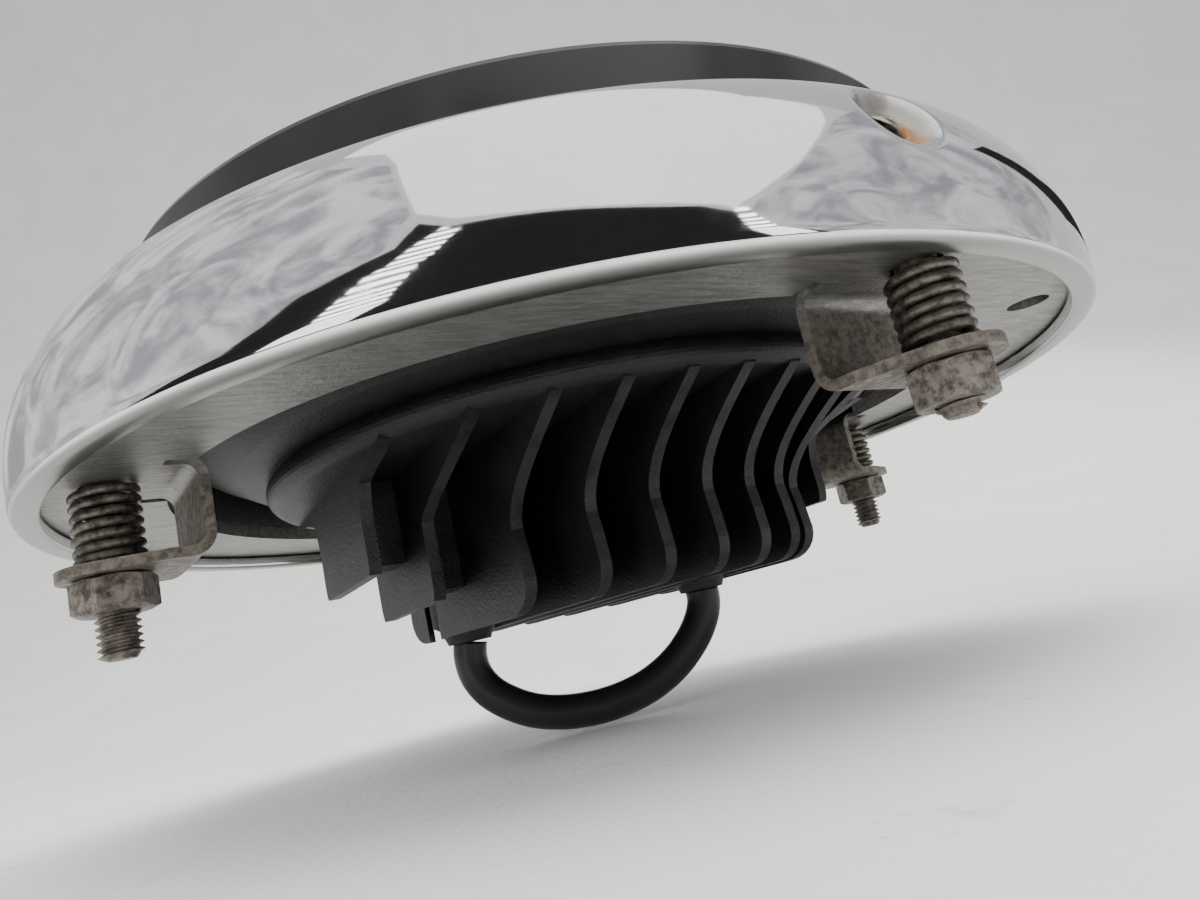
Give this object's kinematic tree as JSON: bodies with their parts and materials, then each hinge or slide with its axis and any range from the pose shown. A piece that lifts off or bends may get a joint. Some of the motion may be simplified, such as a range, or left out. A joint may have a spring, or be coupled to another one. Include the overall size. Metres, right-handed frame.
{
  "type": "motorcycle headlight",
  "caption": "Round LED motorcycle headlight with a finned black heat sink, set in a chromed trim bezel with a folded spring-clamp mounting plate and a short cord loop.",
  "frame": {"origin": "centre of the bezel's rear rim, in the plane of the rim", "axes": "+Z forward out of the lens along the lamp's axis; -Y towards the six o'clock retaining screw; fins run along Y"},
  "size_m": [0.1884, 0.1884, 0.0877],
  "materials": {
    "chrome": "mirror plated, light wear, rust in the dimple",
    "plate_zinc": "dirty zinc, streaked brown-grey",
    "fastener_steel": "corroded zinc",
    "spring_steel": "corroded, a little orange rust",
    "rubber": "matt black",
    "black_casting": "fine-textured black powder coat, worn grey at the fin edges",
    "black_ring": "satin black",
    "clear_lens": "clear moulded lens",
    "black_trim": "satin black moulding",
    "optic_glass": "clear",
    "bare_aluminium": "satin",
    "board_white": "white solder mask on metal core",
    "chip_yellow": "phosphor",
    "board_green": "green solder mask",
    "component_plastic": "black components",
    "screw_steel": "zinc plated",
    "cord_sheath": "satin black sheath"
  },
  "bodies": {
    "root": {"bezel": "chrome", "mounting_plate": "plate_zinc", "adjuster_studs": "fastener_steel", "spring_1": "spring_steel", "spring_2": "spring_steel", "spring_3": "spring_steel", "spring_4": "spring_steel", "adjuster_nuts": "fastener_steel", "gasket": "rubber", "heat_sink": "black_casting", "front_ring": "black_ring", "lens": "clear_lens", "lens_seal": "rubber", "inner_trim": "black_trim", "low_beam_lens": "optic_glass", "high_beam_lens": "optic_glass", "low_beam_holder": "bare_aluminium", "high_beam_holder": "bare_aluminium", "light_board": "board_white", "light_chips": "chip_yellow", "driver_board": "board_green", "driver_parts": "component_plastic", "board_screws": "screw_steel", "gland_a": "rubber", "gland_b": "rubber", "cord": "cord_sheath"}
  },
  "joints": []
}
